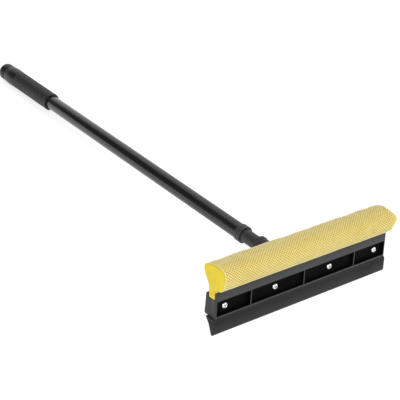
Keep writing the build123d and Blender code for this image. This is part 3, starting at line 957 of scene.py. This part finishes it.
class SQUEEGEE_OT_sponge(bpy.types.Operator):
    """Build the foam sponge with its pores and cut ends"""

    bl_idname = "squeegee.sponge"
    bl_label = "Sponge"

    def execute(self, context):
        sizes = context.scene.squeegee_sizes
        section = Section()
        lumps = sizes.foam_lumps / MM
        around = int(section.length / FOAM_STEP)
        bm = bmesh.new()
        rings = []
        for k in range(FOAM_SLICES + 1):
            x = -HALF_LENGTH + 2 * HALF_LENGTH * k / FOAM_SLICES
            ring = []
            for j in range(around + 1):
                place, _ = sponge_surface(section, x, section.length * j / around, lumps)
                ring.append(bm.verts.new(place))
            rings.append(ring)
        bridge(bm, rings, rings[1:])
        bm.faces.new(rings[0])
        bm.faces.new(list(reversed(rings[-1])))
        bmesh.ops.recalc_face_normals(bm, faces=bm.faces)
        sponge = object_from("sponge", bm, [finishes()["sponge_foam"]])
        remesh = sponge.modifiers.new("cells", "REMESH")
        remesh.mode = "VOXEL"
        remesh.voxel_size = sizes.foam_cell
        remesh.use_smooth_shade = True
        baked(sponge)
        self.open_pores(sponge, sizes.foam_pores)
        sponge.data.materials.clear()
        sponge.data.materials.append(finishes()["sponge_foam"])
        settle(sponge, "head", "sponge_foam", "foam_sponge")
        return {"FINISHED"}

    def open_pores(self, sponge, depth):
        """Sinks scattered pores into the free faces of the foam, deepest on its cut ends."""
        mesh = sponge.data
        moves = []
        for vertex in mesh.vertices:
            x, _, z = head_axes(vertex.co)
            cell = noise.voronoi(vertex.co * PORES_PER_METRE)[0][0]
            pore = max(0.0, 1.0 - cell / PORE_EDGE) ** 1.3
            end = abs(vertex.normal.x)
            share = (0.30 + 0.70 * end) * (0.15 + 0.85 * fade_to_slot(z + 4.0 * end))
            rough = 0.12 * noise.noise(vertex.co * 900.0)
            moves.append(vertex.co - vertex.normal * (depth * (share * pore + rough * end)))
        for vertex, place in zip(mesh.vertices, moves):
            vertex.co = place
        mesh.update()


class SQUEEGEE_OT_net(bpy.types.Operator):
    """Build the knitted net round the sponge, with a selvedge at each end"""

    bl_idname = "squeegee.net"
    bl_label = "Net"

    def execute(self, context):
        sizes = context.scene.squeegee_sizes
        section = Section()
        lumps = sizes.foam_lumps / MM
        pitch = sizes.net_pitch / MM
        row = sizes.net_row / MM
        start = SLOT_TOP_Z - TONGUE_BOTTOM_Z
        rows = int((section.length - 2 * start) / row)
        row = (section.length - 2 * start) / rows
        edge_x = HALF_LENGTH - NET_INSET
        columns = int(2 * edge_x / (pitch / 2))
        half_pitch = 2 * edge_x / columns
        places = []
        facings = []
        edges = []

        def thread(steps):
            """Adds one strand through (x, distance, lift) steps."""
            first = len(places)
            for x, distance, lift in steps:
                place, facing = sponge_surface(section, x, distance, lumps, lift)
                places.append(tuple(place))
                facings.append(tuple(facing))
            edges.extend((k, k + 1) for k in range(first, len(places) - 1))

        for lean in (1, -1):
            for first in range(-rows, columns + 1):
                if first % 2:
                    continue
                steps = []
                for k in range(rows + 1):
                    column = first + k if lean > 0 else columns - first - k
                    if not 0 <= column <= columns:
                        continue
                    over = OVER_LIFT if (k + (lean > 0)) % 2 else UNDER_LIFT
                    wave = MESH_WAVE * half_pitch * noise.noise(Vector((column * 0.9, k * 0.7, 3.0)))
                    steps.append((-edge_x + column * half_pitch + wave, start + k * row, over))
                if len(steps) > 1:
                    thread(steps)
        for side in (-1, 1):
            for inset in (0.0, SELVEDGE_GAP):
                count = int(section.length / SELVEDGE_STEP)
                span = section.length - 2 * start
                path = []
                for k in range(count + 1):
                    sway = SELVEDGE_SWAY * noise.noise(Vector((k * 0.21, side * 7.0, 1.0)))
                    x = side * (edge_x + SELVEDGE_OUT - inset + sway)
                    path.append((x, start + span * k / count, SELVEDGE_LIFT))
                thread(path)
        corner = section.nearest(SPONGE_OUTLINE[1])
        for offset, lift in HEM_STRANDS:
            count = int(2 * edge_x / HEM_STEP)
            path = []
            for k in range(count + 1):
                sway = HEM_SWAY * noise.noise(Vector((k * 0.3, offset * 5.0, 2.0)))
                path.append((-edge_x + 2 * edge_x * k / count, corner + offset + sway, lift))
            thread(path)
        net = marked_points("net", places, edges, "facing", facings)
        values = {
            "Strand Width": sizes.strand_width,
            "Strand Thickness": sizes.strand_thickness,
            "Profile Sides": STRAND_SIDES,
            "Material": finishes()["sponge_net"],
        }
        strand_tree().apply(net, values)
        net.data.shade_smooth()
        settle(net, "head", "sponge_net", "sponge_net")
        return {"FINISHED"}


CROSS_FLOOR = 1.3
CROSS_REACH = 1.5
THREAD_CREST = 1.78
THREAD_ROOT = 1.4
THREAD_START = 1.0
THREAD_PITCH = 1.1
THREAD_TURNS = 8
SCREW_LENGTH = 11.0
SCREW_STEPS = 48
RIB_STEPS = 72


class SQUEEGEE_OT_screws(bpy.types.Operator):
    """Build the clamp screws with domed heads, cross recesses and threads"""

    bl_idname = "squeegee.screws"
    bl_label = "Clamp Screws"

    def execute(self, context):
        steel = finishes()["screw_steel"]
        outline = [(3.0, 0.0), (2.96, 1.0), (2.78, 2.1), (2.35, 3.05), (1.7, 3.7), (1.0, 4.02)]
        outline += [(0.4, 4.1), (0.0, 4.05), (0.0, THREAD_CREST)]
        for k in range(THREAD_TURNS):
            level = -THREAD_START - THREAD_PITCH * k
            outline += [(level + 0.3, THREAD_ROOT), (level, THREAD_CREST)]
            outline += [(level - 0.15, THREAD_CREST), (level - 0.45, THREAD_ROOT)]
        outline += [(-SCREW_LENGTH, 0.5), (-SCREW_LENGTH, 0.0)]

        head = lathe("screw master", outline, [steel], upright, SCREW_STEPS)
        cutter = self.cross_cutter()
        cut = head.modifiers.new("recess", "BOOLEAN")
        cut.operation = "DIFFERENCE"
        cut.solver = "EXACT"
        cut.object = cutter
        baked(head)
        bpy.data.objects.remove(cutter)
        head.data.shade_smooth()
        sharpen(head, radians(32))
        # Marks the floor of the cross recess for its painted shade.
        grime = head.data.attributes.new("grime", "FLOAT", "POINT")
        for item, vertex in zip(grime.data, head.data.vertices):
            deep = abs(vertex.co.z / MM - CROSS_FLOOR) < 0.1 and vertex.co.xy.length < CROSS_REACH * MM
            item.value = 1.0 if deep else 0.0
        places = [head_point(x, RECESS_FLOOR_Y, SCREW_Z) for x in SCREW_X]
        upright_turn = Matrix.Rotation(pi / 2 - LEAN, 3, "X")
        spins = (0.9, 0.25, 0.62, 1.15)
        turns = [tuple((upright_turn @ Matrix.Rotation(spin, 3, "Z")).to_euler()) for spin in spins]
        screws = copies("screws", head, places, turns, steel)
        settle(screws, "head", "screw_steel", "clamp_screws")
        return {"FINISHED"}

    def cross_cutter(self):
        """A tapered cross that cuts a screw's recess."""
        bm = bmesh.new()
        rings = []
        for height, reach, width in ((CROSS_FLOOR, 1.2, 0.45), (3.6, 2.6, 0.68)):
            ring = []
            for quarter in range(4):
                spin = Matrix.Rotation(pi / 2 * quarter, 3, "Z")
                for x, y in ((reach, -width), (reach, width), (width, width)):
                    ring.append(bm.verts.new(spin @ Vector((x, y, height)) * MM))
            rings.append(ring)
        bridge(bm, rings[:1], rings[1:])
        bm.faces.new(list(reversed(rings[0])))
        bm.faces.new(rings[1])
        bmesh.ops.recalc_face_normals(bm, faces=bm.faces)
        return object_from("screw recess", bm, [])


class SQUEEGEE_OT_pole(bpy.types.Operator):
    """Build the inner and outer tubes and the mouth collar"""

    bl_idname = "squeegee.pole"
    bl_label = "Pole"

    def execute(self, context):
        bore = (
            (SOCKET_FLOOR, INNER_BORE),
            (SOCKET_FLOOR, INNER_RADIUS),
            (INNER_END, INNER_RADIUS),
            (INNER_END, INNER_BORE),
        )
        turned("inner_pole", rounded(bore, 0.2, 2), "head", "inner_tube_coat", "inner_tube")
        start = COLLAR_START + COLLAR_FACE
        wall = ((start, TUBE_BORE), (start, TUBE_RADIUS), (GRIP_END, TUBE_RADIUS), (GRIP_END, TUBE_BORE))
        turned("outer_pole", rounded(wall, 0.15, 2), "handle", "pole_paint", "outer_tube")
        lip = COLLAR_RADIUS - 0.5
        ring = (
            (COLLAR_START, INNER_RADIUS + 0.05),
            (COLLAR_START, COLLAR_RADIUS),
            (start + 2.0, COLLAR_RADIUS),
            (start + 2.2, lip),
            (start + 3.3, lip),
            (start + 3.5, COLLAR_RADIUS),
            (COLLAR_END, COLLAR_RADIUS),
            (COLLAR_END, TUBE_RADIUS),
            (start, TUBE_RADIUS),
            (start, TUBE_BORE),
            (start + SLEEVE_LENGTH, TUBE_BORE),
            (start + SLEEVE_LENGTH, INNER_RADIUS + 0.05),
        )
        radii = (0.35, 0.6, 0.3, 0.15, 0.15, 0.3, 0.6, 0.0, 0.0, 0.0, 0.2, 0.2)
        turned("collar", rounded(ring, radii, 4), "handle", "collar_plastic", "mouth_collar")
        return {"FINISHED"}


class SQUEEGEE_OT_grip(bpy.types.Operator):
    """Build the ribbed grip sleeve and its rounded end cap"""

    bl_idname = "squeegee.grip"
    bl_label = "Grip"

    def execute(self, context):
        sizes = context.scene.squeegee_sizes
        rubber = finishes()["grip_rubber"]
        full = sizes.grip_radius / MM
        base = full - sizes.rib_height / MM
        swell = sizes.swell_radius / MM
        outline = (
            (GRIP_START, TUBE_RADIUS),
            (GRIP_START, full + 0.1),
            (GRIP_START + 4.0, full + 0.2),
            (GRIP_START + 6.0, base),
            (SWELL_STATION - 14.0, base),
            (SWELL_STATION - 11.0, full),
            (SWELL_STATION - 4.0, swell),
            (SWELL_STATION + 3.0, swell),
            (GRIP_END, CAP_RADIUS + 0.2),
            (GRIP_END, TUBE_RADIUS),
        )
        radii = (0.3, 1.2, 1.0, 0.8, 1.0, 2.0, 5.0, 4.0, 0.4, 0.0)
        turned("grip", rounded(outline, radii, 5), "handle", "grip_rubber", "grip_sleeve")
        width = sizes.rib_width / MM
        rib = (
            (-width / 2, base - 0.4),
            (-width / 2, base),
            (-width / 4, full),
            (width / 4, full),
            (width / 2, base),
            (width / 2, base - 0.4),
        )

        rounding = (0.0, 0.3, 0.35, 0.35, 0.3, 0.0)
        master = lathe("rib master", rounded(rib, rounding, 3), [rubber], upright, RIB_STEPS)
        turn = tuple(Vector((0, 0, 1)).rotation_difference(POLE_AXIS).to_euler())
        pitch = sizes.rib_pitch / MM
        first = GRIP_START + 5.2
        count = min(sizes.rib_count, int((SWELL_STATION - 12.0 - first) / pitch) + 1)
        places = [pole_point(first + pitch * (k + 0.5), 0.0, 0.0) for k in range(count)]
        ribs = copies("grip_ribs", master, places, [turn] * count, rubber)
        ribs.data.shade_smooth()
        settle(ribs, "handle", "grip_rubber", "grip_sleeve")
        self.cap()
        return {"FINISHED"}

    def cap(self):
        """The rounded plug in the pole's end, with a shallow ring in its face."""
        front = GRIP_END - CAP_SPIGOT
        outline = [(front, 0.0), (front, TUBE_BORE - 0.3), (front + 0.6, TUBE_BORE), (GRIP_END, TUBE_BORE)]
        outline += [(GRIP_END, CAP_RADIUS - 0.3), (GRIP_END + 0.4, CAP_RADIUS)]
        dome = 6.0
        for k in range(1, 10):
            angle = pi / 2 * k / 9
            radius = CAP_RADIUS - dome + dome * cos(angle)
            outline.append((CAP_END - dome + dome * sin(angle), radius))
        outline += [(CAP_END, 5.2), (CAP_END - 0.5, 4.7), (CAP_END - 0.5, 3.4)]
        outline += [(CAP_END, 2.9), (CAP_END, 0.0)]
        turned("grip_cap", outline, "handle", "grip_rubber", "end_cap", 40)


class SQUEEGEE_OT_lock(bpy.types.Operator):
    """Give the hidden fastenings and the twist lock their finishes"""

    bl_idname = "squeegee.lock"
    bl_label = "Twist Lock"

    def execute(self, context):
        made = finishes()
        for part in frame["record"]["subparts"]:
            slots = frame["nodes"][part["node"]].material_slots
            for slot in slots:
                slot.material = made[part["material_slot"]]
        return {"FINISHED"}


# Places of the lamps, what they are aimed at and their sizes, in metres
FILL_PLACE = Vector((1.0, -0.9, 0.6))
FILL_AIM = Vector((0.1, 0.0, 0.03))
FILL_SIZE = 0.6
KEY_PLACE = Vector((-1.7, -0.5, 1.1))
KEY_AIM = Vector((0, 0.1, 0.03))
KEY_SIZE = 1.2
FLOOR_REACH = 8.0
FLOOR_DROP = 0.0002
# The dark card in the dome: its direction, and the angles where it starts and is darkest
FLAG_DIRECTION = Vector((-0.585, 0.640, 0.50)).normalized()
FLAG_REACH = radians(46)
FLAG_CORE = radians(14)


class SQUEEGEE_OT_stage(bpy.types.Operator):
    """Set up the floor, the studio light and the camera"""

    bl_idname = "squeegee.stage"
    bl_label = "Stage"

    def execute(self, context):
        scene = context.scene
        look = scene.squeegee_view
        self.floor(tuple(scene.squeegee_colours.floor), look.table)
        self.dome(look)
        reach = cos(look.elevation)
        back = Vector((sin(look.azimuth) * reach, -cos(look.azimuth) * reach, sin(look.elevation)))
        level = (-back).cross(Vector((0, 0, 1))).normalized()
        upright = level.cross(-back)
        right = level * cos(look.roll) + upright * sin(look.roll)
        up = upright * cos(look.roll) - level * sin(look.roll)
        lens = bpy.data.cameras.new("camera")
        lens.sensor_width = 36.0
        lens.lens = look.lens
        lens.clip_start = 0.05
        lens.clip_end = 50.0
        camera = bpy.data.objects.new("camera", lens)
        scene.collection.objects.link(camera)
        place = back * look.distance + right * look.aim_right + up * look.aim_up
        turn = Matrix((right, up, back)).transposed().to_4x4()
        camera.matrix_world = Matrix.Translation(place) @ turn
        scene.camera = camera
        scene.view_settings.view_transform = "Standard"
        scene.view_settings.look = "None"
        self.lamp("fill lamp", look.fill, FILL_SIZE, FILL_PLACE, FILL_AIM)
        self.lamp("key lamp", look.key, KEY_SIZE, KEY_PLACE, KEY_AIM)
        return {"FINISHED"}

    def floor(self, colour, glow):
        """A wide pale light table just under the tool."""
        bm = bmesh.new()
        bmesh.ops.create_grid(bm, x_segments=8, y_segments=8, size=FLOOR_REACH)
        bmesh.ops.translate(bm, verts=bm.verts, vec=Vector((0, 0, -FLOOR_DROP)))
        object_from("floor", bm, [studio_floor("studio floor", colour, glow)])

    def dome(self, look):
        """A white dome with a dark card behind the pole, which gives the gloss its dark middle."""
        world = bpy.data.worlds.new("studio dome")
        bpy.context.scene.world = world
        world.use_nodes = True
        sky = Nodes(world.node_tree)
        place = sky.add("ShaderNodeTexCoord").outputs["Generated"]
        facing = sky.add("ShaderNodeVectorMath", {0: place, 1: FLAG_DIRECTION}, operation="DOT_PRODUCT")
        light = sky.span(facing.outputs["Value"], cos(FLAG_REACH), cos(FLAG_CORE), look.sky, look.flag)
        background = world.node_tree.nodes["Background"]
        sky.give(background.inputs["Color"], (1, 1, 1))
        sky.give(background.inputs["Strength"], light)

    def lamp(self, name, power, size, place, aim):
        """A large soft lamp aimed at a point."""
        data = bpy.data.lights.new(name, "AREA")
        data.energy = power
        data.size = size
        lamp = bpy.data.objects.new(name, data)
        bpy.context.scene.collection.objects.link(lamp)
        turn = (aim - place).to_track_quat("-Z", "Y").to_matrix().to_4x4()
        lamp.matrix_world = Matrix.Translation(place) @ turn


class SQUEEGEE_PT_panel(bpy.types.Panel):
    """Lists the squeegee's pieces, sizes and colours"""

    bl_idname = "SQUEEGEE_PT_panel"
    bl_label = "Squeegee"
    bl_space_type = "VIEW_3D"
    bl_region_type = "UI"
    bl_category = "Squeegee"

    def draw(self, context):
        column = self.layout.column()
        for operator in OPERATORS:
            column.operator(operator.bl_idname)
        for name in GROUPS:
            group = getattr(context.scene, name)
            box = self.layout.box()
            for key in type(group).__annotations__:
                box.prop(group, key)


GROUPS = {
    "squeegee_sizes": SqueegeeSizes,
    "squeegee_colours": SqueegeeColours,
    "squeegee_view": SqueegeeView,
}
OPERATORS = (
    SQUEEGEE_OT_head,
    SQUEEGEE_OT_blade,
    SQUEEGEE_OT_sponge,
    SQUEEGEE_OT_net,
    SQUEEGEE_OT_screws,
    SQUEEGEE_OT_pole,
    SQUEEGEE_OT_grip,
    SQUEEGEE_OT_lock,
    SQUEEGEE_OT_stage,
)


def register():
    for key, group in GROUPS.items():
        bpy.utils.register_class(group)
        setattr(bpy.types.Scene, key, bpy.props.PointerProperty(type=group))
    for item in (*OPERATORS, SQUEEGEE_PT_panel):
        bpy.utils.register_class(item)


def unregister():
    for item in (SQUEEGEE_PT_panel, *reversed(OPERATORS)):
        bpy.utils.unregister_class(item)
    for key, group in GROUPS.items():
        delattr(bpy.types.Scene, key)
        bpy.utils.unregister_class(group)


def main():
    """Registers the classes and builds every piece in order."""
    register()
    for operator in OPERATORS:
        family, name = operator.bl_idname.split(".")
        getattr(getattr(bpy.ops, family), name)()


if __name__ == "__main__":
    main()
